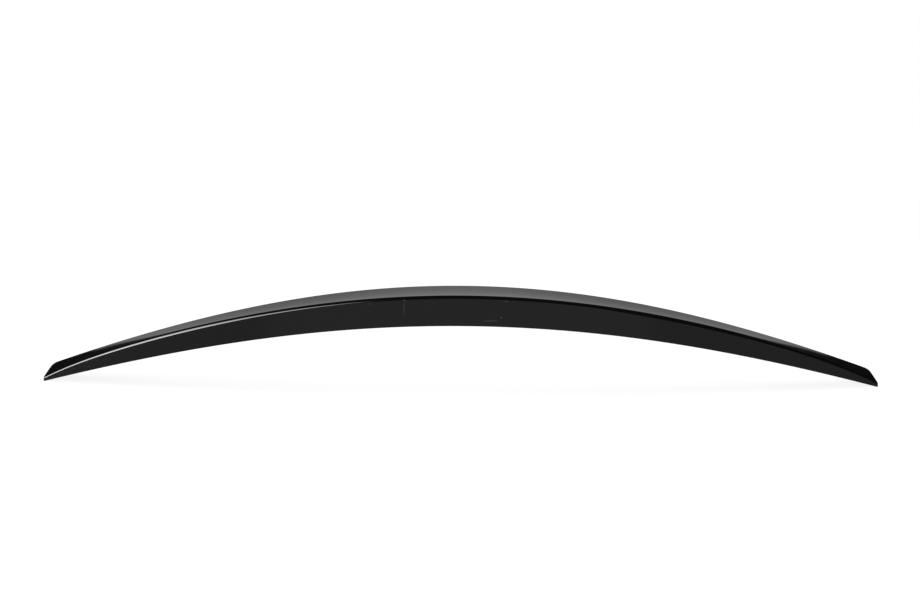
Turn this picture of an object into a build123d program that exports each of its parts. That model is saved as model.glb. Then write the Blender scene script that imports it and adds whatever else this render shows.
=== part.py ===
from build123d import *
import os
from math import cos, radians, sin, tan

# A car's rear spoiler: a lip moulded in one piece that is bonded to the trailing edge of a boot lid.
# It is an arched shell, open underneath, with a ridge along its rear face and ribs inside.
# X runs across the car, +Y towards its front and +Z up. The part is symmetric about X = 0.
# Sizes are in millimetres and angles in degrees. A height or depth without another note is
# measured from the lower rear edge of the same cross-section.

# Lower rear edge
half_span = 600.0  # middle of the car to a tip
sweep = 85.0  # how far forward of the middle the tips lie
end_drop = 110.2  # how far below the middle the tips hang
drop_easing = 11.6  # how much the arch straightens towards the tips

# Ridge
ridge_height = 41.4  # at the middle
ridge_height_tip = 6.0
ridge_tip_fall = 10.5  # what the ridge loses only close to the tips
ridge_fall = ridge_height - ridge_height_tip - ridge_tip_fall  # what it loses steadily besides
face_lean = 10.5  # forward lean of the rear face
ridge_setback = 5.3  # from the sharp corner to where its rounding starts, at the middle
ridge_setback_tip = 2.2  # the same at a tip
ridge_fullness = 0.56  # makes the rounding close to a circular arc

# Front edge
depth = 68.0  # at the middle
depth_tip = 38.0
front_height = 41.3  # at the middle
front_height_tip = 14.5
front_easing = 6.3
top_hollow = 1.0  # how far the top dips below a straight line, at the middle
top_crown_tip = 0.2  # how far it bulges above one at a tip

# Walls and edges
front_thickness = 3.5
rear_thickness = 3.0
lower_edge_round = 0.8
rim_round = 2.2  # rounds the top of the front edge, the corners and the ends, down to the tips
wall = 3.0

# Ends, seen from above
end_slant = 14.0  # the ends run inboard towards the front
corner_radius = 9.0

# Boot lid that the underside fits
lid_radius = 80.0  # of the lid's trailing edge, seen from the side

# Underside
front_land = 16.0  # bonding land along the front edge
rear_land = 12.0  # bonding land along the lower rear edge, at the middle
rear_land_end = 7.0  # the same where the pocket ends
end_block = 70.0  # solid length of each end, beyond the pocket
pocket_half_length = half_span - end_block
draw_tilt = 30.0  # the mould opens downwards and this much forwards
rib_pitch = 66.0
rib_thickness = 2.5
rib_relief = 1.5  # the ribs stay clear of the lid

# Construction
overrun = 8.0  # stock that the outline trims off the front edge
overshoot = 5.0  # stock that it trims off beyond each tip
stock_below = 20.0  # stock under the lower rear edge until the underside is cut
cut_through = 6.0  # how far cutting tools reach past a face
stations = (0.0, 0.14, 0.28, 0.42, 0.55, 0.67, 0.77, 0.85, 0.91, 0.96)  # cross-sections, 1 is a tip
station_gap = 15.0  # least distance between two cross-sections
last_cell = 15.0  # least width of the pocket beyond its last rib


def lower_edge(x):
    """Outer lower rear edge."""
    s = x / half_span
    drop = (end_drop + drop_easing) * s**2 - drop_easing * s**4
    return Vector(x, sweep * s**2, -drop)


def ridge_rise(x):
    s = x / half_span
    return ridge_height - ridge_fall * s**2 - ridge_tip_fall * s**10


def ridge(x):
    """Sharp corner that the ridge's rounding is drawn from."""
    rise = ridge_rise(x)
    return lower_edge(x) + Vector(0, rise * tan(radians(face_lean)), rise)


def front_edge(x):
    """Upper front edge."""
    s = x / half_span
    forward = depth - (depth - depth_tip) * s**2
    fall = front_height - front_height_tip
    up = front_height - (fall + front_easing) * s**2 + front_easing * s**4
    return lower_edge(x) + Vector(0, forward, up)


def upward_normal(start, end):
    """Unit normal of the line between two points of a section, on its upper side."""
    along = (end - start).normalized()
    return Vector(0, -along.Z, along.Y)


def bowed(start, end, rise):
    """Middle control point of an arc-like curve that bows up by the rise given."""
    return (start + end) / 2 + upward_normal(start, end) * 2 * rise


def meeting(p, u, q, v):
    """Where the line through p along u meets the line through q along v, in one section."""
    cross = u.Y * v.Z - u.Z * v.Y
    gap = q - p
    return p + u * ((gap.Y * v.Z - gap.Z * v.Y) / cross)


def top_control(x):
    s = x / half_span
    rise = (top_crown_tip + top_hollow) * s**2 - top_hollow
    return bowed(ridge(x), front_edge(x), rise)


def front_stock(x):
    """Front end of the top before the outline trims it."""
    edge = front_edge(x)
    return edge + (edge - top_control(x)).normalized() * overrun


def lid_line(x):
    """Underside of a section: its front end, its middle control point and its rear end."""
    front = front_stock(x)
    low_front = front - upward_normal(top_control(x), front) * front_thickness
    low_rear = lower_edge(x) + Vector(0, rear_thickness, 0)
    length = (low_front - low_rear).length
    control = bowed(low_rear, low_front, length**2 / (8 * lid_radius))
    return low_front, control, low_rear


def setback(x):
    s = x / half_span
    return ridge_setback - (ridge_setback - ridge_setback_tip) * s**4


def outer_section(x):
    """Closed cross-section of the lip before its underside is cut away."""
    low = lower_edge(x)
    corner = ridge(x)
    control = top_control(x)
    up_face = (corner - low).normalized()
    along_top = (control - corner).normalized()
    foot = low - up_face * stock_below
    face_end = corner - up_face * setback(x)
    top_start = corner + along_top * setback(x)
    handle_face = face_end + (corner - face_end) * ridge_fullness
    handle_top = top_start + (corner - top_start) * ridge_fullness
    front = front_stock(x)
    front_foot = Vector(x, front.Y, foot.Z)
    return Wire([
        Line(foot, face_end),
        Bezier(face_end, handle_face, handle_top, top_start),
        Bezier(top_start, control, front),
        Line(front, front_foot),
        Line(front_foot, foot),
    ])


def lid_section(x):
    """Closed cross-section of the room that the boot lid takes up under the lip."""
    low_front, control, low_rear = lid_line(x)
    behind = lower_edge(x) - Vector(0, cut_through, 0)
    bottom = behind.Z - stock_below - cut_through
    return Wire([
        Bezier(low_front, control, low_rear),
        Line(low_rear, behind),
        Line(behind, Vector(x, behind.Y, bottom)),
        Line(Vector(x, behind.Y, bottom), Vector(x, low_front.Y, bottom)),
        Line(Vector(x, low_front.Y, bottom), low_front),
    ])


def draw_direction():
    return Vector(0, sin(radians(draw_tilt)), -cos(radians(draw_tilt)))


def lid_blend(x, t, u):
    """Point of the underside at t where u is t too, and else the control point between t and u.

    Both run from 0 at the front to 1 at the rear.
    """
    low_front, control, low_rear = lid_line(x)
    return low_front * (1 - t) * (1 - u) + control * (t * (1 - u) + u * (1 - t)) + low_rear * t * u


def land_limits(x):
    """Where along the underside the front land ends and the rear one starts, from 0 to 1."""
    low_front, control, low_rear = lid_line(x)
    narrowing = (rear_land - rear_land_end) * (x / pocket_half_length)**2
    front = (overrun + front_land) / (2 * (control - low_front).length)
    rear = 1 - (rear_land - narrowing) / (2 * (control - low_rear).length)
    return front, rear


def pocket_section(x):
    """Closed cross-section of the pocket, which leaves the wall and the lands."""
    corner = ridge(x)
    control = top_control(x)
    edge = front_edge(x)
    up_face = (corner - lower_edge(x)).normalized()
    along_top = (control - corner).normalized()
    inner_face = corner + Vector(0, up_face.Z, -up_face.Y) * wall
    inner_top = corner - upward_normal(corner, control) * wall
    inner_corner = meeting(inner_face, up_face, inner_top, along_top)
    inner_control = control - upward_normal(corner, edge) * wall
    t, u = land_limits(x)
    front = lid_blend(x, t, t)
    rear = lid_blend(x, u, u)
    draw = draw_direction()
    rear_top = meeting(rear, draw, inner_face, up_face)
    front_top = meeting(front, draw, inner_top, (edge - corner).normalized())
    return Wire([
        Line(rear_top, inner_corner),
        Bezier(inner_corner, inner_control, front_top),
        Line(front_top, front + draw * cut_through),
        Line(front + draw * cut_through, rear + draw * cut_through),
        Line(rear + draw * cut_through, rear_top),
    ])


def relief_section(x):
    """Closed cross-section of the gap between the ribs and the lid."""
    t, u = land_limits(x)
    up = draw_direction() * -rib_relief
    down = draw_direction() * 2 * cut_through
    front = lid_blend(x, t, t)
    rear = lid_blend(x, u, u)
    return Wire([
        Bezier(rear + up, lid_blend(x, t, u) + up, front + up),
        Line(front + up, front + down),
        Line(front + down, rear + down),
        Line(rear + down, rear + up),
    ])


def lofted(section, half_length):
    """Solid through the sections from one end to the other."""
    right = [s * half_span for s in stations if s * half_span < half_length - station_gap]
    right.append(half_length)
    places = [-x for x in reversed(right[1:])] + right
    return Solid.make_loft([section(x) for x in places])


def plan_outline():
    """Outline of the lip from above: curved front edge, slanted ends, open room at the rear."""
    back = -cut_through
    inboard = tan(radians(end_slant))
    wide = half_span + (sweep - back) * inboard
    growth = (sweep + depth_tip - depth) * (wide / half_span)**2
    far = depth + growth
    narrow = half_span + (sweep - far) * inboard
    behind_front = make_face([
        Bezier((-wide, far), (0, depth - growth), (wide, far)),
        Line((wide, far), (wide, back)),
        Line((wide, back), (-wide, back)),
        Line((-wide, back), (-wide, far)),
    ])
    between_ends = make_face(Polyline((-wide, back), (wide, back), (narrow, far), (-narrow, far), close=True))
    outline = behind_front & between_ends
    corners = outline.vertices().sort_by(Axis.Y)[-2:]
    return fillet(corners, corner_radius)


def outer_body():
    """The lip before it is hollowed: trimmed to its outline, rounded and cut to fit the lid."""
    half_length = half_span + overshoot
    height = end_drop + ridge_height + front_height
    prism = extrude(Pos(0, 0, -height) * plan_outline(), 2 * height)
    block = lofted(outer_section, half_length) & prism
    rim = block.edges().sort_by_distance(front_edge(0))[0]
    block = fillet(rim, rim_round) - lofted(lid_section, half_length)
    heel = block.edges().sort_by_distance(lower_edge(0))[0]
    return fillet(heel, lower_edge_round)


def rib_slabs():
    """Upright slabs across the car, one for each rib."""
    height = end_drop + ridge_height + front_height
    count = 2 * int((pocket_half_length - last_cell) / rib_pitch + 0.5)
    slab = Box(rib_thickness, 2 * (sweep + depth), 2 * height)
    first = -(count - 1) / 2 * rib_pitch
    return [Pos(first + i * rib_pitch, 0, 0) * slab for i in range(count)]


def pocket_cells():
    """The hollow between the wall, the lands and the ribs."""
    pocket = lofted(pocket_section, pocket_half_length)
    relief = lofted(relief_section, pocket_half_length)
    ribs = [slab - relief for slab in rib_slabs()]
    return pocket - ribs


def seat():
    """Middle of the front bonding land, which is the part's origin."""
    low_front, control, low_rear = lid_line(0)
    t = (overrun + front_land / 2) / (2 * (control - low_front).length)
    return lid_blend(0, t, t)


def spoiler_shell():
    """The whole lip, with its origin at its seat."""
    return Pos(-seat()) * (outer_body() - pocket_cells())


if __name__ == "__main__":
    os.makedirs("parts", exist_ok=True)
    shell = spoiler_shell()
    shell.label = "spoiler_shell"
    export_step(shell, "parts/spoiler_shell.step")
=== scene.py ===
"""A moulded car rear spoiler in a white studio.

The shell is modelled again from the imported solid's own sizes, fine enough for its gloss to reflect
cleanly. X runs across the car, +Y towards its front and +Z up. Lengths are in metres, and the origin
is the middle of the front bonding land.
"""

from math import cos, pi, radians, sin, sqrt, tan

import bmesh
import bpy
from mathutils import Matrix, Vector


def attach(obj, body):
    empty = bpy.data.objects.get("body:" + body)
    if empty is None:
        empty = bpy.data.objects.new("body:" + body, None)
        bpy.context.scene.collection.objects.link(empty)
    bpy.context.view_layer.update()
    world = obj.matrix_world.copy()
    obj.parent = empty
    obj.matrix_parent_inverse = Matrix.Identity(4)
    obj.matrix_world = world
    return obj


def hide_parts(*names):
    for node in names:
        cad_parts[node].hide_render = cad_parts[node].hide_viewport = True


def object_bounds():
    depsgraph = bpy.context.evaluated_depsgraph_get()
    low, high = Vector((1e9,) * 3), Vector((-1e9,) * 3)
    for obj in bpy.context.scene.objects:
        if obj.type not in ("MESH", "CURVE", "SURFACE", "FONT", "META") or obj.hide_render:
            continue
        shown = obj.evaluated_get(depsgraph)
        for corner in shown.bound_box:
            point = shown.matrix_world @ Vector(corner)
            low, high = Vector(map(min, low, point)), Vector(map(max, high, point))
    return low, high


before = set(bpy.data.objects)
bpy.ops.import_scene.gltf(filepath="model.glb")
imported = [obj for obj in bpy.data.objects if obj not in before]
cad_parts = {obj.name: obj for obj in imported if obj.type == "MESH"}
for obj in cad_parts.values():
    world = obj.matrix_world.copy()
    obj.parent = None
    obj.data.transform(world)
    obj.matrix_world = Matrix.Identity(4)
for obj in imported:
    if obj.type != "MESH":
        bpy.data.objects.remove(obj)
cad_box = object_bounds()

bl_info = {
    "name": "Rear Spoiler",
    "version": (1, 0, 0),
    "blender": (4, 5, 0),
    "location": "3D View > Sidebar > Spoiler",
    "description": "Models a gloss black rear spoiler and stands it in a white studio",
    "category": "Add Mesh",
}

SHELL_NODE = "spoiler_shell"
SHELL_PIECE = "gloss_lip"
SENSOR_WIDTH = 36.0

# Steps of the lip's mesh
HEEL_STEPS = 3
FACE_STEPS = 4
RIDGE_STEPS = 14
TOP_STEPS = 15
RIM_STEPS = 6
CORNER_STEPS = 6
REAR_LAND_STEPS = 2
INNER_STEPS = 7
FRONT_LAND_STEPS = 7
CELL_STEPS = 8
END_STEPS = 10
# From land to land: the steps of the pocket's curved top, and four for its straight sides
HOLLOW_STEPS = INNER_STEPS + 4

SAME_PLACE = 1e-6
# A shorter step gives an unsteady direction, because Blender's vectors are single precision
SMALL_STEP = 1e-3
CREASE = radians(32)
# Rounds after which a place that depends on itself has settled
ROUNDS = 8
# Halvings that find where the front corner is centred
HALVINGS = 40

# Soft marks on the rear face: middle in x and z, half width, half height and strength
DULL_MARKS = (
    (-0.127, -0.0085, 0.0012, 0.0012, 1.0),
    (-0.079, -0.0028, 0.0014, 0.0012, 1.0),
    (0.0625, -0.003, 0.0035, 0.0018, 0.6),
)
PALE_MARKS = (
    (-0.0795, -0.015, 0.0009, 0.0115, 0.35),
    (0.0555, -0.025, 0.0012, 0.0012, 1.0),
    (0.04, -0.0295, 0.013, 0.0008, 0.5),
)
# In y, where the marks fade in and where they show fully
MARKED_FACE = (-0.02, -0.03)

WHITE = (1.0, 1.0, 1.0, 1.0)
MATT_WHITE = (0.8, 0.8, 0.8, 1.0)
# The floor turns plain white between these distances from its middle
SHADOW_FADES = 0.5
SHADOW_GONE = 1.6
KEY_PLACE = (0.0, -0.5, 3.5)
KEY_SIZE = (3.0, 3.0)
CLIP_END = 200.0


def length(name, description, default):
    return bpy.props.FloatProperty(
        name=name, description=description, default=default, unit="LENGTH", subtype="DISTANCE", precision=4
    )


def angle(name, description, default):
    return bpy.props.FloatProperty(
        name=name, description=description, default=radians(default), unit="ROTATION", subtype="ANGLE"
    )


def amount(name, description, default):
    return bpy.props.FloatProperty(name=name, description=description, default=default, precision=3)


def colour(name, description, default):
    return bpy.props.FloatVectorProperty(
        name=name, description=description, default=default, size=3, subtype="COLOR", min=0.0, max=1.0
    )


class SpoilerShape(bpy.types.PropertyGroup):
    """Sizes of the shell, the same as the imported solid's."""

    half_span: length("Half span", "Middle of the car to a tip", 0.6)
    sweep: length("Sweep", "How far forward of the middle the tips lie", 0.085)
    end_drop: length("End drop", "How far below the middle the tips hang", 0.1102)
    drop_easing: length("Drop easing", "How much the arch straightens towards the tips", 0.0116)
    ridge_height: length("Ridge height", "Height of the ridge at the middle", 0.0414)
    ridge_height_tip: length("Ridge height at a tip", "Height of the ridge at a tip", 0.006)
    ridge_tip_fall: length("Ridge fall at a tip", "What the ridge loses only close to a tip", 0.0105)
    face_lean: angle("Face lean", "Forward lean of the rear face", 10.5)
    ridge_setback: length("Ridge setback", "Sharp corner to rounding, at the middle", 0.0053)
    ridge_setback_tip: length("Ridge setback at a tip", "Sharp corner to rounding, at a tip", 0.0022)
    ridge_fullness: amount("Ridge fullness", "Makes the rounding close to a circular arc", 0.56)
    depth: length("Depth", "Rear edge to front edge, at the middle", 0.068)
    depth_tip: length("Depth at a tip", "Rear edge to front edge, at a tip", 0.038)
    front_height: length("Front height", "Height of the front edge at the middle", 0.0413)
    front_height_tip: length("Front height at a tip", "Height of the front edge at a tip", 0.0145)
    front_easing: length("Front easing", "How much the front edge straightens towards the tips", 0.0063)
    top_hollow: length("Top hollow", "How far the top dips at the middle", 0.001)
    top_crown_tip: length("Top crown", "How far the top bulges at a tip", 0.0002)
    front_thickness: length("Front thickness", "Thickness of the front edge", 0.0035)
    rear_thickness: length("Rear thickness", "Thickness of the lower rear edge", 0.003)
    lower_edge_round: length("Lower edge round", "Radius along the lower rear edge", 0.0008)
    rim_round: length("Rim round", "Radius along the front edge and the ends", 0.0022)
    wall: length("Wall", "Thickness of the moulded wall", 0.003)
    end_slant: angle("End slant", "The ends run inboard towards the front", 14.0)
    corner_radius: length("Corner radius", "Of the front corners, seen from above", 0.009)
    lid_radius: length("Lid radius", "Of the boot lid's edge, seen from the side", 0.08)
    front_land: length("Front land", "Width of the bonding land along the front edge", 0.016)
    rear_land: length("Rear land", "Width of the bonding land along the lower rear edge", 0.012)
    rear_land_end: length("Rear land end", "The same where the pocket ends", 0.007)
    end_block: length("End block", "Solid length of each end, beyond the pocket", 0.07)
    draw_tilt: angle("Draw tilt", "The mould opens downwards and this much forwards", 30.0)
    rib_pitch: length("Rib pitch", "Distance from rib to rib", 0.066)
    rib_thickness: length("Rib thickness", "Thickness of each rib", 0.0025)
    rib_relief: length("Rib relief", "How far the ribs stay clear of the lid", 0.0015)
    last_cell: length("Last cell", "Least width of the pocket beyond its last rib", 0.015)
    overrun: length("Overrun", "How far the top's curve is drawn past the front edge", 0.008)


class SpoilerFinish(bpy.types.PropertyGroup):
    """The two finishes of the shell."""

    gloss_colour: colour("Gloss colour", "Of the outer skin", (0.0012, 0.0012, 0.0013))
    gloss_roughness: amount("Gloss roughness", "Of the outer skin", 0.04)
    waviness: length("Waviness", "Height of the slight waves in the outer skin", 0.000015)
    raw_colour: colour("Raw colour", "Of the bare moulding underneath", (0.012, 0.012, 0.013))
    raw_roughness: amount("Raw roughness", "Of the bare moulding underneath", 0.45)
    grain: length("Grain", "Height of the moulding's spark grain", 0.00006)
    dust_colour: colour("Dust colour", "Of the dust and the pale marks on the outer skin", (0.06, 0.06, 0.06))
    scuff_colour: colour("Scuff colour", "Of the worn patches underneath", (0.022, 0.022, 0.024))


class SpoilerStudio(bpy.types.PropertyGroup):
    """Floor, lights and camera."""

    floor_size: length("Floor size", "Side of the floor", 80.0)
    floor_white: amount("Floor white", "Share of plain white that hides the object's shadow", 0.88)
    floor_glow: amount("Floor glow", "Brightness of the floor in the gloss", 0.35)
    far_wall: amount("Far wall", "Brightness of the wall that the top shows", 0.52)
    near_wall: amount("Near wall", "Brightness of the wall that the rear face shows", 0.365)
    side_walls: amount("Side walls", "Brightness of the panels at both sides", 0.4)
    ceiling: amount("Ceiling", "Brightness of the rest of the room", 0.012)
    key_power: amount("Key power", "Of the soft lamp overhead, in watts", 215.0)
    strip: amount("Strip", "Brightness of the tall light at the left that lines the ridge", 9.0)
    view_elevation: angle("View elevation", "How far the camera looks down", 15.0)
    view_roll: angle("View roll", "How far the picture is turned", 0.41)
    view_distance: length("View distance", "From the camera to the lower rear edge", 3.010)
    view_side: length("View side", "How far the camera stands to the right", -0.0019)
    view_rise: length("View rise", "How far the lower rear edge lies below the picture's middle", 0.02755)
    focal_length: amount("Focal length", "In millimetres", 85.0)


def upward(start, end):
    """Unit normal of the line between two points of a section, on its upper side."""
    along = (end - start).normalized()
    return Vector((0, -along.z, along.y))


def bowed(start, end, rise):
    """Middle control point of an arc-like curve that bows up by the rise given."""
    return start.lerp(end, 0.5) + upward(start, end) * 2 * rise


def meeting(p, u, q, v):
    """Where the line through p along u meets the line through q along v, in one section."""
    cross = u.y * v.z - u.z * v.y
    gap = q - p
    return p + u * ((gap.y * v.z - gap.z * v.y) / cross)


def curve_point(points, share):
    """Point of the curve with these control points."""
    while len(points) > 1:
        points = [a.lerp(b, share) for a, b in zip(points, points[1:])]
    return points[0]


def curve_direction(points, share):
    return curve_point([b - a for a, b in zip(points, points[1:])], share)


def at_depth(points, y):
    """Point of a curve with three control points where it reaches a depth."""
    a = points[0].y - 2 * points[1].y + points[2].y
    b = 2 * (points[1].y - points[0].y)
    c = points[0].y - y
    root = sqrt(b * b - 4 * a * c)
    return curve_point(points, -2 * c / (b + root if b > 0 else b - root))


def evenly(start, end, steps):
    """Places from start to end, both included."""
    return [start + (end - start) * i / steps for i in range(steps + 1)]


def sideways(line, x):
    """How a line that runs along the lip goes on at x."""
    return line(x + SMALL_STEP) - line(x - SMALL_STEP)


def along_curve(points, steps):
    return [curve_point(points, share) for share in evenly(0.0, 1.0, steps)]


class Profile:
    """The curves that run along the lip, and what a section at x has on them."""

    def __init__(self, sizes):
        self.sizes = sizes
        # The middle of the front land is found with the origin still on the lower rear edge
        self.seat = Vector()
        front, control, rear = self.lid_line(0.0)
        share = (sizes.overrun + sizes.front_land / 2) / (2 * (control - front).length)
        self.seat = curve_point([front, control, rear], share)
        self.pocket_end = sizes.half_span - sizes.end_block
        self.draw = Vector((0, sin(sizes.draw_tilt), -cos(sizes.draw_tilt)))

    def lower_edge(self, x):
        """Sharp lower rear edge, which the heel rounds."""
        sizes = self.sizes
        s = x / sizes.half_span
        drop = (sizes.end_drop + sizes.drop_easing) * s**2 - sizes.drop_easing * s**4
        return Vector((x, sizes.sweep * s**2, -drop)) - self.seat

    def ridge(self, x):
        """Sharp corner that the ridge's rounding is drawn from."""
        sizes = self.sizes
        s = x / sizes.half_span
        steady_fall = sizes.ridge_height - sizes.ridge_height_tip - sizes.ridge_tip_fall
        rise = sizes.ridge_height - steady_fall * s**2 - sizes.ridge_tip_fall * s**10
        return self.lower_edge(x) + Vector((0, rise * tan(sizes.face_lean), rise))

    def front_edge(self, x):
        """Sharp upper front edge, which the rim rounds."""
        sizes = self.sizes
        s = x / sizes.half_span
        forward = sizes.depth - (sizes.depth - sizes.depth_tip) * s**2
        fall = sizes.front_height - sizes.front_height_tip
        up = sizes.front_height - (fall + sizes.front_easing) * s**2 + sizes.front_easing * s**4
        return self.lower_edge(x) + Vector((0, forward, up))

    def top_control(self, x):
        """Control point of the top's curve, which dips at the middle and bulges at the tips."""
        sizes = self.sizes
        s = x / sizes.half_span
        rise = (sizes.top_crown_tip + sizes.top_hollow) * s**2 - sizes.top_hollow
        return bowed(self.ridge(x), self.front_edge(x), rise)

    def front_stock(self, x):
        """Where the top's curve ends, past the front edge."""
        edge = self.front_edge(x)
        return edge + (edge - self.top_control(x)).normalized() * self.sizes.overrun

    def lid_line(self, x):
        """Control points of the underside, from its front end to the sole of the rear wall."""
        sizes = self.sizes
        front = self.front_stock(x)
        low_front = front - upward(self.top_control(x), front) * sizes.front_thickness
        sole_end = self.lower_edge(x) + Vector((0, sizes.rear_thickness, 0))
        chord = (low_front - sole_end).length
        return [low_front, bowed(sole_end, low_front, chord**2 / (8 * sizes.lid_radius)), sole_end]

    def lid_blend(self, x, t, u):
        """Point of the underside at t where u is t too, and else the control point between t and u."""
        front, control, rear = self.lid_line(x)
        return front * (1 - t) * (1 - u) + control * (t * (1 - u) + u * (1 - t)) + rear * t * u

    def ridge_curve(self, x):
        """Control points of the ridge's rounding, from the rear face to the top."""
        sizes = self.sizes
        s = x / sizes.half_span
        setback = sizes.ridge_setback - (sizes.ridge_setback - sizes.ridge_setback_tip) * s**4
        corner = self.ridge(x)
        face_end = corner - (corner - self.lower_edge(x)).normalized() * setback
        top_start = corner + (self.top_control(x) - corner).normalized() * setback
        handles = [face_end.lerp(corner, sizes.ridge_fullness), top_start.lerp(corner, sizes.ridge_fullness)]
        return [face_end, *handles, top_start]

    def face_foot(self, x):
        """Where the rear face starts, above the heel."""
        low = self.lower_edge(x)
        up = (self.ridge(x) - low).normalized()
        square = sideways(self.lower_edge, x).cross(up).normalized()
        down = self.sole_normal(x)
        return low + up * self.sizes.lower_edge_round * (square.dot(down) - 1) / up.dot(down)

    def sole_normal(self, x):
        """Unit normal of the rear wall's sole, downwards."""
        edge = sideways(self.lower_edge, x)
        return Vector((edge.z, 0, -edge.x)).normalized()

    def top_at(self, x, y):
        return at_depth([self.ridge_curve(x)[3], self.top_control(x), self.front_stock(x)], y)

    def top_normal(self, x, y):
        across = sideways(lambda place: self.top_at(place, y), x)
        along = self.top_at(x, y + SMALL_STEP) - self.top_at(x, y - SMALL_STEP)
        return across.cross(along).normalized()

    def rear_at(self, x, share):
        """Point of the rear skin: up the face to 1 and over the ridge's rounding to 2."""
        if share <= 1:
            return self.face_foot(x).lerp(self.ridge_curve(x)[0], share)
        return curve_point(self.ridge_curve(x), share - 1)

    def rear_normal(self, x, share):
        across = sideways(lambda place: self.rear_at(place, share), x)
        along = curve_direction(self.ridge_curve(x), max(share - 1, 0))
        return across.cross(along).normalized()

    def land_limits(self, x):
        """Where along the underside the front land ends and the rear one starts, from the front."""
        sizes = self.sizes
        front, control, rear = self.lid_line(x)
        narrowing = (sizes.rear_land - sizes.rear_land_end) * (x / self.pocket_end)**2
        t = (sizes.overrun + sizes.front_land) / (2 * (control - front).length)
        return t, 1 - (sizes.rear_land - narrowing) / (2 * (control - rear).length)

    def pocket_line(self, x):
        """Points round the pocket's inside, from the rear land to the front land."""
        sizes = self.sizes
        corner = self.ridge(x)
        control = self.top_control(x)
        edge = self.front_edge(x)
        up_face = (corner - self.lower_edge(x)).normalized()
        inner_face = corner + Vector((0, up_face.z, -up_face.y)) * sizes.wall
        inner_top = corner - upward(corner, control) * sizes.wall
        inner_corner = meeting(inner_face, up_face, inner_top, (control - corner).normalized())
        inner_control = control - upward(corner, edge) * sizes.wall
        t, u = self.land_limits(x)
        rear_top = meeting(self.lid_blend(x, u, u), self.draw, inner_face, up_face)
        front_top = meeting(self.lid_blend(x, t, t), self.draw, inner_top, (edge - corner).normalized())
        inside = along_curve([inner_corner, inner_control, front_top], INNER_STEPS)
        return [rear_top, rear_top.lerp(inner_corner, 0.5), *inside]

    def underside(self, x, kind):
        """Points of a section's underside, from the sole of its rear wall to its front.

        Between the lands a pocket section is hollow, a rib section ends at the rib's free edge, and a
        solid one fits the lid.
        """
        t, u = self.land_limits(x)
        rear_land = [self.lid_blend(x, v, v) for v in evenly(1.0, u, REAR_LAND_STEPS)]
        land_end = self.lid_blend(x, t, t)
        lid = self.lid_line(x)
        land_depths = evenly(land_end.y, self.front_edge(x).y, FRONT_LAND_STEPS)
        front_land = [at_depth(lid, y) for y in land_depths]
        up = self.draw * -self.sizes.rib_relief
        if kind == "pocket":
            middle = [rear_land[-1] + up, *self.pocket_line(x), land_end + up]
        elif kind == "rib":
            free_edge = [rear_land[-1] + up, self.lid_blend(x, t, u) + up, land_end + up]
            middle = along_curve(free_edge, HOLLOW_STEPS)
        else:
            middle = [self.lid_blend(x, v, v) for v in evenly(u, t, HOLLOW_STEPS + 2)[1:-1]]
        return rear_land + middle + front_land


REAR_SHARES = evenly(0.0, 1.0, FACE_STEPS) + evenly(1.0, 2.0, RIDGE_STEPS)[1:]


def rounding(point, normal, outward, radius, steps):
    """Points and normals of a rounding that starts at a point of the skin and turns outwards."""
    centre = point - normal * radius
    turned = [normal.slerp(outward, share) for share in evenly(0.0, 1.0, steps)[1:]]
    return [(centre + side * radius, side) for side in turned]


def touching_top(profile, centre):
    """Where a ball of the rim's radius at a place seen from above touches the top from below."""
    place = centre
    for _ in range(ROUNDS):
        normal = profile.top_normal(place.x, place.y)
        place = centre + normal.xy * profile.sizes.rim_round
    return profile.top_at(place.x, place.y), normal


def front_direction(profile, x):
    """Unit normal of the front edge, seen from above."""
    edge = sideways(profile.front_edge, x)
    return Vector((-edge.y, edge.x)).normalized()


def front_rim(profile, x):
    """Where the rim starts on the top, and its rounding down to the front wall."""
    outward = front_direction(profile, x)
    centre = profile.front_edge(x).xy - outward * profile.sizes.rim_round
    start = touching_top(profile, centre)
    return start, rounding(*start, outward.to_3d(), profile.sizes.rim_round, RIM_STEPS)


def heel(profile, x, point, normal):
    """Rounding from the sole up to a point of the skin at the face's foot."""
    radius = profile.sizes.lower_edge_round
    return rounding(point, normal, profile.sole_normal(x), radius, HEEL_STEPS)[::-1]


def plain_section(profile, x, kind):
    """Skin points with normals and underside points of a section square to the car."""
    rear = [(profile.rear_at(x, share), profile.rear_normal(x, share)) for share in REAR_SHARES]
    start, rim = front_rim(profile, x)
    first = rear[-1][0]
    top = []
    for share in evenly(0.0, 1.0, TOP_STEPS)[1:-1]:
        place = first.xy.lerp(start[0].xy, share)
        top.append((profile.top_at(place.x, place.y), profile.top_normal(place.x, place.y)))
    skin = heel(profile, x, *rear[0]) + rear + top + [start]
    return skin, rim, profile.underside(x, kind)


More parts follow.
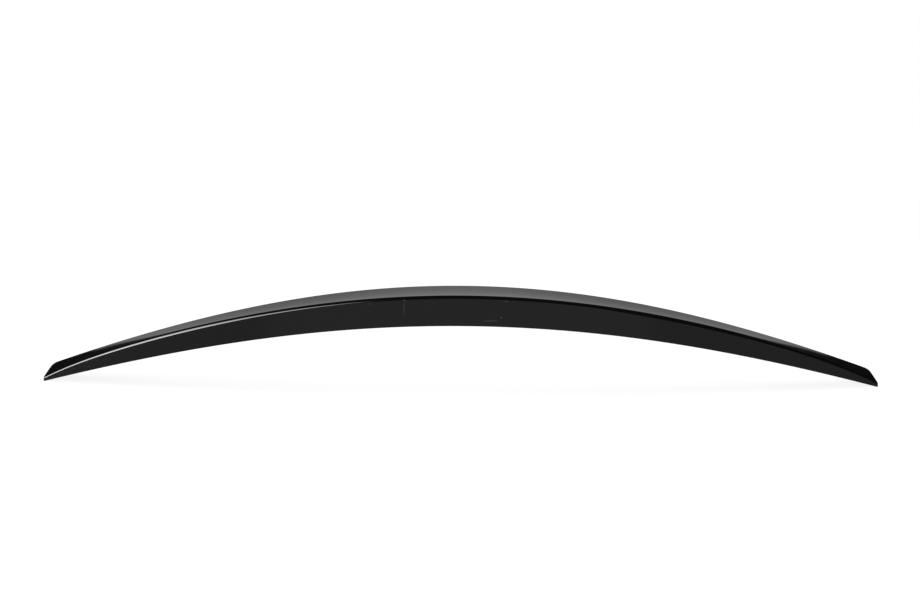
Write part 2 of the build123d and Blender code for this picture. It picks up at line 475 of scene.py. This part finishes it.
class End:
    """The right end of the lip, seen from above: a slanted line and a rounded front corner."""

    def __init__(self, profile):
        sizes = profile.sizes
        self.profile = profile
        self.tip = profile.lower_edge(sizes.half_span).xy
        self.outward = Vector((cos(sizes.end_slant), sin(sizes.end_slant)))
        forward = Vector((-self.outward.y, self.outward.x))
        near, far = 0.0, sizes.depth_tip
        for _ in range(HALVINGS):
            middle = (near + far) / 2
            centre = self.tip - self.outward * sizes.corner_radius + forward * middle
            foot = self.front_foot(centre)
            if (foot - centre).length > sizes.corner_radius:
                near = middle
            else:
                far = middle
        self.centre = centre
        front = (foot - centre).normalized()
        self.spokes = [self.outward.slerp(front, share) for share in evenly(0.0, 1.0, CORNER_STEPS)]

    def front_foot(self, centre):
        """Nearest point of the front edge, seen from above."""
        x = centre.x
        for _ in range(ROUNDS):
            side = front_direction(self.profile, x)
            x = centre.x + side.x / side.y * (self.profile.front_edge(x).y - centre.y)
        return self.profile.front_edge(x).xy

    def ball_place(self, share):
        """Across the car, where a ball of the rim's radius inside the rear skin touches the end."""
        radius = self.profile.sizes.rim_round
        x = self.tip.x - radius
        for _ in range(ROUNDS):
            centre = self.profile.rear_at(x, share) - self.profile.rear_normal(x, share) * radius
            x -= (centre.xy - self.tip).dot(self.outward) + radius
        return x

    def skin(self):
        """Where the end's rounding starts on the skin, as points, normals and the ways it turns."""
        profile = self.profile
        radius = profile.sizes.rim_round
        rear = []
        for share in REAR_SHARES:
            x = self.ball_place(share)
            rear.append((profile.rear_at(x, share), profile.rear_normal(x, share)))
        last_point, last_normal = rear[-1]
        start = (last_point - last_normal * radius).xy
        arc = [self.centre + spoke * (profile.sizes.corner_radius - radius) for spoke in self.spokes]
        straight = TOP_STEPS - CORNER_STEPS
        places = [start.lerp(arc[0], share) for share in evenly(0.0, 1.0, straight)[1:-1]] + arc
        top = [touching_top(profile, place) for place in places]
        ways = [self.outward] * (len(REAR_SHARES) + straight - 1) + self.spokes
        return rear + top, [way.to_3d() for way in ways]

    def underside(self):
        """Where the underside meets the end, seen from above."""
        profile = self.profile
        sizes = profile.sizes
        x = self.tip.x
        for _ in range(ROUNDS):
            y = profile.lower_edge(x).y + sizes.rear_thickness
            x = self.tip.x - (y - self.tip.y) * tan(sizes.end_slant)
        arc = [self.centre + spoke * sizes.corner_radius for spoke in self.spokes]
        sole_end = Vector((x, y)) - self.outward * sizes.lower_edge_round
        count = len(profile.underside(profile.pocket_end, "solid")) - len(arc)
        return [sole_end.lerp(arc[0], share) for share in evenly(0.0, 1.0, count)[:-1]] + arc


def depth_share(y, rear, front):
    """How far y lies on the way from the rear to the front, from 0 to 1."""
    return (y - rear) / (front - rear)


def between(profile, plain_under, end_skin, end_under, part_way):
    """Section between the last plain one and the end's outline, which bends from one to the other."""
    start = profile.pocket_end
    skin = []
    for share, (point, _) in zip(REAR_SHARES, end_skin):
        x = start + (point.x - start) * part_way
        skin.append((profile.rear_at(x, share), profile.rear_normal(x, share)))
    front_x = start + (end_under[-1].x - start) * part_way
    rim_start, rim = front_rim(profile, front_x)
    inset = profile.front_edge(rim_start[0].x).y - rim_start[0].y
    end_inset = profile.front_edge(end_skin[-1][0].x).y - end_skin[-1][0].y
    for i in range(1, TOP_STEPS):
        point = end_skin[len(REAR_SHARES) - 1 + i][0]
        rear = profile.ridge_curve(point.x)[3].y
        front = profile.front_edge(point.x).y - end_inset
        share = i / TOP_STEPS
        share += (depth_share(point.y, rear, front) - share) * part_way
        x = start + (point.x - start) * part_way
        rear = profile.ridge_curve(x)[3].y
        front = profile.front_edge(x).y - inset
        y = rear + (front - rear) * share
        skin.append((profile.top_at(x, y), profile.top_normal(x, y)))
    skin.append(rim_start)
    under = []
    for point, place in zip(plain_under, end_under):
        share = depth_share(point.y, profile.lid_line(start)[2].y, profile.front_edge(start).y)
        end_rear = profile.lid_line(place.x)[2].y
        end_share = depth_share(place.y, end_rear, profile.front_edge(place.x).y)
        share += (end_share - share) * part_way
        x = start + (place.x - start) * part_way
        lid = profile.lid_line(x)
        under.append(at_depth(lid, lid[2].y + (profile.front_edge(x).y - lid[2].y) * share))
    return heel(profile, skin[0][0].x, *skin[0]) + skin, rim, under


def plain_places(profile):
    """Where the plain sections stand and of what kind they are, from the middle to the pocket's end."""
    sizes = profile.sizes
    ribs = int((profile.pocket_end - sizes.last_cell) / sizes.rib_pitch + 0.5)
    places = []
    x = 0.0
    for i in range(ribs):
        near = (i + 0.5) * sizes.rib_pitch - sizes.rib_thickness / 2
        far = near + sizes.rib_thickness
        places += [(place, "pocket") for place in evenly(x, near, CELL_STEPS)]
        places += [(near, "rib"), (far, "rib")]
        x = far
    places += [(place, "pocket") for place in evenly(x, profile.pocket_end, CELL_STEPS // 2)]
    return places + [(profile.pocket_end, "solid")]


class ShellMesh:
    """The lip's mesh, grown line by line from the middle of the car to its right end, then mirrored."""

    def __init__(self, profile):
        self.profile = profile
        self.mesh = bmesh.new()
        self.normal = self.mesh.verts.layers.float_vector.new("skin_normal")
        self.under = self.mesh.verts.layers.int.new("under")

    def first_line(self, points):
        """Closed loop of vertices."""
        line = [self.mesh.verts.new(point) for point in points]
        for pair in zip(line, line[1:] + line[:1]):
            self.mesh.edges.new(pair)
        return line

    def grow(self, line, points, closed):
        """Extrudes a line of vertices on to new points."""
        pairs = zip(line, line[1:] + line[:1] if closed else line[1:])
        edges = [self.mesh.edges.get(pair) for pair in pairs]
        made = set(bmesh.ops.extrude_edge_only(self.mesh, edges=edges)["geom"])
        grown = []
        for vertex, point in zip(line, points):
            ends = [edge.other_vert(vertex) for edge in vertex.link_edges]
            partner = next(end for end in ends if end in made)
            partner.co = point
            grown.append(partner)
        return grown

    def mark(self, line, normals):
        """Notes the skin's true normals, and that what comes after them is the underside."""
        for vertex, normal in zip(line, normals):
            vertex[self.normal] = normal
        for vertex in line[len(normals):]:
            vertex[self.under] = 1

    def add_section(self, line, section):
        skin, rim, under = section
        points = [point for point, _ in skin + rim] + under[::-1]
        line = self.grow(line, points, True) if line else self.first_line(points)
        self.mark(line, [normal for _, normal in skin + rim])
        return line

    def close_end(self, line, skin, ways):
        """Rounds the end's edge from the last section's skin, then closes the end's wall and sole."""
        radius = self.profile.sizes.rim_round
        turned = [rounding(*spot, way, radius, RIM_STEPS) for spot, way in zip(skin, ways)]
        edge = line[:HEEL_STEPS + len(skin)]
        sole = [edge[0]]
        for step in range(RIM_STEPS):
            spots = [column[step] for column in turned]
            spots = heel(self.profile, spots[0][0].x, *spots[0]) + spots
            edge = self.grow(edge, [point for point, _ in spots], False)
            self.mark(edge, [normal for _, normal in spots])
            sole.append(edge[0])
        lower = line[HEEL_STEPS + len(skin) + RIM_STEPS:][::-1]
        for i in range(1, CORNER_STEPS + 1):
            self.mesh.faces.new((edge[-i], edge[-i - 1], lower[-i - 1], lower[-i]))
        wall_top = edge[HEEL_STEPS:-CORNER_STEPS]
        wall_foot = lower[:-CORNER_STEPS]
        self.mesh.faces.new(wall_top + wall_foot[::-1])
        self.mesh.faces.new(edge[:HEEL_STEPS + 1] + lower[:1])
        self.mesh.faces.new(sole + lower[:1])

    def build(self):
        profile = self.profile
        end = End(profile)
        end_skin, ways = end.skin()
        end_under = end.underside()
        line = None
        for x, kind in plain_places(profile):
            line = self.add_section(line, plain_section(profile, x, kind))
        plain_under = profile.underside(profile.pocket_end, "solid")
        for part_way in evenly(0.0, 1.0, END_STEPS)[1:]:
            line = self.add_section(line, between(profile, plain_under, end_skin, end_under, part_way))
        self.close_end(line, end_skin, ways)
        self.finish()
        return self.mesh

    def finish(self):
        """Welds and mirrors the half, turns its faces outwards and marks its creases and materials."""
        mesh = self.mesh
        bmesh.ops.remove_doubles(mesh, verts=mesh.verts[:], dist=SAME_PLACE)
        bmesh.ops.dissolve_degenerate(mesh, edges=mesh.edges[:], dist=SAME_PLACE)
        half = mesh.verts[:] + mesh.edges[:] + mesh.faces[:]
        bmesh.ops.mirror(mesh, geom=half, matrix=Matrix(), axis="X", merge_dist=SAME_PLACE)
        for vertex in mesh.verts:
            if vertex.co.x < 0:
                vertex[self.normal].x *= -1
        bmesh.ops.recalc_face_normals(mesh, faces=mesh.faces[:])
        for face in mesh.faces:
            face.smooth = True
            face.material_index = min(vertex[self.under] for vertex in face.verts)
        for edge in mesh.edges:
            edge.smooth = edge.calc_face_angle(0.0) < CREASE


class Value:
    """A number that a node gives, which adds Math nodes as it is worked with."""

    def __init__(self, nodes, socket):
        self.nodes = nodes
        self.socket = socket

    def __add__(self, other):
        return self.nodes.math("ADD", self, other)

    def __radd__(self, other):
        return self.nodes.math("ADD", other, self)

    def __sub__(self, other):
        return self.nodes.math("SUBTRACT", self, other)

    def __rsub__(self, other):
        return self.nodes.math("SUBTRACT", other, self)

    def __mul__(self, other):
        return self.nodes.math("MULTIPLY", self, other)

    def __rmul__(self, other):
        return self.nodes.math("MULTIPLY", other, self)

    def __truediv__(self, other):
        return self.nodes.math("DIVIDE", self, other)

    def __rtruediv__(self, other):
        return self.nodes.math("DIVIDE", other, self)

    def __pow__(self, other):
        return self.nodes.math("POWER", self, other)

    def __rpow__(self, other):
        return self.nodes.math("POWER", other, self)

    def rise(self, start, end):
        """0 before the start, 1 past the end and smooth between them, in either direction."""
        values = {"Value": self, "From Min": start, "From Max": end}
        return self.nodes.add("ShaderNodeMapRange", {"interpolation_type": "SMOOTHSTEP"}, values)

    def band(self, start, full, fading, end):
        """0 outside start and end, and 1 from full to fading."""
        return self.rise(start, full) * self.rise(end, fading)


class Nodes:
    """The nodes of one material or world."""

    def __init__(self, owner):
        owner.use_nodes = True
        self.tree = owner.node_tree
        self.tree.nodes.clear()

    def add(self, kind, settings=None, values=None, output=0):
        """Adds a node, gives it its settings, then its values or links, and returns one output."""
        node = self.tree.nodes.new(kind)
        for name, setting in (settings or {}).items():
            setattr(node, name, setting)
        pairs = values.items() if isinstance(values, dict) else enumerate(values or [])
        for name, value in pairs:
            if isinstance(value, Value):
                self.tree.links.new(value.socket, node.inputs[name])
            else:
                node.inputs[name].default_value = value
        return Value(self, node.outputs[output]) if len(node.outputs) else node

    def math(self, operation, *values):
        return self.add("ShaderNodeMath", {"operation": operation}, values)

    def parts(self, vector):
        return [self.add("ShaderNodeSeparateXYZ", {}, [vector], axis) for axis in "XYZ"]

    def noise(self, place, scale, detail=2.0):
        """Cloudy pattern with this many lumps per metre, from 0 to 1."""
        return self.add("ShaderNodeTexNoise", {}, {"Vector": place, "Scale": scale, "Detail": detail})

    def tint(self, factor, first, second):
        """Colour between two, by a factor. The Mix node's colour sockets go by number."""
        values = {0: factor, 6: (*first, 1.0), 7: (*second, 1.0)}
        return self.add("ShaderNodeMix", {"data_type": "RGBA"}, values, 2)


def marks_on_face(place, marks):
    """Soft oval marks, which only the rear face takes."""
    ovals = []
    for x, z, wide, high, strength in marks:
        oval = ((place[0] - x) / wide) ** 2 + ((place[2] - z) / high) ** 2
        ovals.append(oval.rise(1.0, 0.3) * strength)
    return sum(ovals) * place[1].rise(*MARKED_FACE)


def gloss_material(finish):
    """Polished black outer skin with the photograph's few faint marks, dust and a slight waviness."""
    material = bpy.data.materials.new("gloss_black_skin")
    nodes = Nodes(material)
    where = nodes.add("ShaderNodeTexCoord", output="Object")
    place = nodes.parts(where)
    smears = nodes.noise(where, 35.0, 4.0).rise(0.52, 0.75)
    dust = nodes.noise(where, 2600.0, 0.0).rise(0.8, 0.84)
    dull = marks_on_face(place, DULL_MARKS)
    pale = marks_on_face(place, PALE_MARKS)
    base = nodes.tint(pale * 0.4 + dust * 0.2, finish.gloss_colour, finish.dust_colour)
    roughness = dull * 0.9 + dust * 0.15 + smears * 0.015 + finish.gloss_roughness
    waves = nodes.noise(where, 22.0, 1.0)
    peel = nodes.noise(where, 420.0, 1.0)
    height = {"Height": waves + peel * 0.02, "Distance": finish.waviness}
    normal = nodes.add("ShaderNodeBump", {}, height)
    values = {"Base Color": base, "Roughness": roughness, "Normal": normal}
    shader = nodes.add("ShaderNodeBsdfPrincipled", {}, values)
    nodes.add("ShaderNodeOutputMaterial", {}, [shader])
    return material


def raw_material(finish):
    """Bare moulded underside: dull black with a fine spark grain and paler scuffed patches."""
    material = bpy.data.materials.new("raw_black_moulding")
    nodes = Nodes(material)
    where = nodes.add("ShaderNodeTexCoord", output="Object")
    grain = nodes.noise(where, 1500.0, 2.0)
    patches = nodes.noise(where, 14.0, 3.0).rise(0.45, 0.7)
    base = nodes.tint(patches * 0.5 + grain * 0.3, finish.raw_colour, finish.scuff_colour)
    roughness = grain * 0.12 - patches * 0.06 + finish.raw_roughness
    normal = nodes.add("ShaderNodeBump", {}, {"Height": grain, "Distance": finish.grain})
    values = {"Base Color": base, "Roughness": roughness, "Normal": normal}
    shader = nodes.add("ShaderNodeBsdfPrincipled", {}, values)
    nodes.add("ShaderNodeOutputMaterial", {}, [shader])
    return material


def far_wall(side, elevation):
    """Pale wall beyond the car, which the top shows. Its lower edge climbs towards both sides."""
    across = side.rise(19.0, 17.5) * 0.66 + side.rise(13.0, 0.0) * 0.34
    lower_edge = (elevation - side + 11.5).rise(-1.5, -0.2)
    return across * lower_edge * elevation.rise(26.0, 20.0)


def near_wall(side, elevation):
    """Softer wall that the rear face shows. It is taller and brighter straight behind the car."""
    behind = side.rise(155.0, 160.0)
    upper_edge = elevation.rise(7.2, 5.6) * (1 - behind) + elevation.rise(38.0, 24.0) * behind
    return side.rise(100.0, 125.0) * upper_edge * (0.82 + behind * 0.18)


def side_panels(side, elevation):
    """Panels to both sides of the car, which the ends show."""
    return side.band(46.0, 58.0, 98.0, 108.0) * elevation.band(2.0, 8.0, 16.0, 27.0)


def strip_light(azimuth, elevation):
    """Tall leaning light behind the car's left end, brighter in its lower half."""
    across = (azimuth + elevation * 0.4).rise(-140.5, -136.0) * azimuth.rise(-106.0, -114.0)
    brightness = elevation.rise(32.0, 18.0) * 1.2 + 1
    return across * elevation.band(3.2, 4.5, 44.0, 56.0) * brightness


def studio_world(studio):
    """White to the camera, and to the gloss a dim room with pale walls and lights.

    A direction has an azimuth from the front of the car, positive to the right, and an elevation, both
    in degrees. The side is the azimuth without its sign.
    """
    world = bpy.data.worlds.new("studio")
    bpy.context.scene.world = world
    nodes = Nodes(world)
    x, y, z = nodes.parts(nodes.add("ShaderNodeTexCoord", output="Generated"))
    elevation = nodes.math("ARCSINE", z) * (180 / pi)
    azimuth = nodes.math("ARCTAN2", x, y) * (180 / pi)
    side = nodes.math("ABSOLUTE", azimuth)
    glow = far_wall(side, elevation) * studio.far_wall
    glow += near_wall(side, elevation) * studio.near_wall
    glow += side_panels(side, elevation) * studio.side_walls
    glow += strip_light(azimuth, elevation) * studio.strip
    glow += studio.ceiling
    seen = nodes.add("ShaderNodeLightPath", output="Is Camera Ray")
    strength = glow * (1 - seen) + seen
    background = nodes.add("ShaderNodeBackground", {}, {"Color": WHITE, "Strength": strength})
    nodes.add("ShaderNodeOutputWorld", {}, [background])


def floor_material(studio):
    """Matt white, which the camera sees as plain white but for the object's faint shadow."""
    material = bpy.data.materials.new("white_floor")
    nodes = Nodes(material)
    x, y, _ = nodes.parts(nodes.add("ShaderNodeTexCoord", output="Object"))
    seen = nodes.add("ShaderNodeLightPath", output="Is Camera Ray")
    mirrored = nodes.add("ShaderNodeLightPath", output="Is Glossy Ray")
    away = ((x * x + y * y) ** 0.5).rise(SHADOW_FADES, SHADOW_GONE)
    brightness = seen + mirrored * studio.floor_glow
    glow = nodes.add("ShaderNodeEmission", {}, {"Color": WHITE, "Strength": brightness})
    matt = nodes.add("ShaderNodeBsdfDiffuse", {}, {"Color": MATT_WHITE})
    share = seen * (studio.floor_white + away * (1 - studio.floor_white)) + mirrored
    mixed = nodes.add("ShaderNodeMixShader", {}, [share, matt, glow])
    nodes.add("ShaderNodeOutputMaterial", {}, [mixed])
    return material


def add_floor(studio):
    """Square floor at the level of the lip's lowest point."""
    mesh = bmesh.new()
    bmesh.ops.create_grid(mesh, x_segments=1, y_segments=1, size=studio.floor_size / 2)
    bmesh.ops.translate(mesh, verts=mesh.verts[:], vec=(0, 0, cad_box[0].z))
    floor = add_object("floor", mesh)
    floor.data.materials.append(floor_material(studio))


def add_object(name, mesh):
    """Object at the origin that takes its mesh from a bmesh, which is then freed."""
    data = bpy.data.meshes.new(name)
    mesh.to_mesh(data)
    mesh.free()
    piece = bpy.data.objects.new(name, data)
    bpy.context.scene.collection.objects.link(piece)
    return piece


def add_lamp(name, place, size, watts):
    """Soft rectangular lamp that looks at the object and doesn't show in its gloss."""
    lamp = bpy.data.lights.new(name, "AREA")
    lamp.shape = "RECTANGLE"
    lamp.size, lamp.size_y = size
    lamp.energy = watts
    stand = bpy.data.objects.new(name, lamp)
    stand.location = place
    stand.rotation_euler = (-Vector(place)).to_track_quat("-Z", "Y").to_euler()
    stand.visible_camera = False
    stand.visible_glossy = False
    bpy.context.scene.collection.objects.link(stand)


def add_camera(studio, profile):
    """Camera behind the car, a little above the lip."""
    data = bpy.data.cameras.new("camera")
    data.sensor_width = SENSOR_WIDTH
    data.lens = studio.focal_length
    data.clip_end = CLIP_END
    camera = bpy.data.objects.new("camera", data)
    bpy.context.scene.collection.objects.link(camera)
    down = studio.view_elevation
    look = Vector((0, cos(down), -sin(down)))
    up = Vector((0, sin(down), cos(down)))
    target = profile.lower_edge(0.0) + Vector((studio.view_side, 0, 0))
    camera.location = target - look * studio.view_distance + up * studio.view_rise
    turn = Matrix.Rotation(pi / 2 - down, 3, "X") @ Matrix.Rotation(studio.view_roll, 3, "Z")
    camera.rotation_euler = turn.to_euler()
    bpy.context.scene.camera = camera


class SPOILER_OT_lip(bpy.types.Operator):
    """Model the lip in one piece, with a gloss skin and a bare moulded underside"""

    bl_idname = "spoiler.lip"
    bl_label = "Lip"

    def execute(self, context):
        scene = context.scene
        mesh = ShellMesh(Profile(scene.spoiler_shape)).build()
        lip = add_object(SHELL_PIECE, mesh)
        normals = [item.vector.copy() for item in lip.data.attributes["skin_normal"].data]
        for name in ("skin_normal", "under"):
            lip.data.attributes.remove(lip.data.attributes[name])
        lip.data.normals_split_custom_set_from_vertices(normals)
        lip.data.materials.append(gloss_material(scene.spoiler_finish))
        lip.data.materials.append(raw_material(scene.spoiler_finish))
        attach(lip, "root")
        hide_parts(SHELL_NODE)
        return {"FINISHED"}


class SPOILER_OT_studio(bpy.types.Operator):
    """Set up the white floor, the room, the lamps and the camera"""

    bl_idname = "spoiler.studio"
    bl_label = "Studio"

    def execute(self, context):
        studio = context.scene.spoiler_studio
        studio_world(studio)
        add_floor(studio)
        add_lamp("key", KEY_PLACE, KEY_SIZE, studio.key_power)
        add_camera(studio, Profile(context.scene.spoiler_shape))
        context.scene.view_settings.view_transform = "Standard"
        return {"FINISHED"}


class SPOILER_PT_panel(bpy.types.Panel):
    """The pieces and the stage, in the order in which they are made"""

    bl_idname = "SPOILER_PT_panel"
    bl_label = "Rear Spoiler"
    bl_space_type = "VIEW_3D"
    bl_region_type = "UI"
    bl_category = "Spoiler"

    def draw(self, context):
        scene = context.scene
        for group in (scene.spoiler_shape, scene.spoiler_finish, scene.spoiler_studio):
            box = self.layout.box()
            for name in group.__annotations__:
                box.prop(group, name)
        self.layout.operator("spoiler.lip")
        self.layout.operator("spoiler.studio")


CLASSES = (SpoilerShape, SpoilerFinish, SpoilerStudio, SPOILER_OT_lip, SPOILER_OT_studio, SPOILER_PT_panel)


def register():
    for item in CLASSES:
        bpy.utils.register_class(item)
    bpy.types.Scene.spoiler_shape = bpy.props.PointerProperty(type=SpoilerShape)
    bpy.types.Scene.spoiler_finish = bpy.props.PointerProperty(type=SpoilerFinish)
    bpy.types.Scene.spoiler_studio = bpy.props.PointerProperty(type=SpoilerStudio)


def unregister():
    del bpy.types.Scene.spoiler_studio
    del bpy.types.Scene.spoiler_finish
    del bpy.types.Scene.spoiler_shape
    for item in reversed(CLASSES):
        bpy.utils.unregister_class(item)


def main():
    register()
    bpy.ops.spoiler.lip()
    bpy.ops.spoiler.studio()


if __name__ == "__main__":
    main()
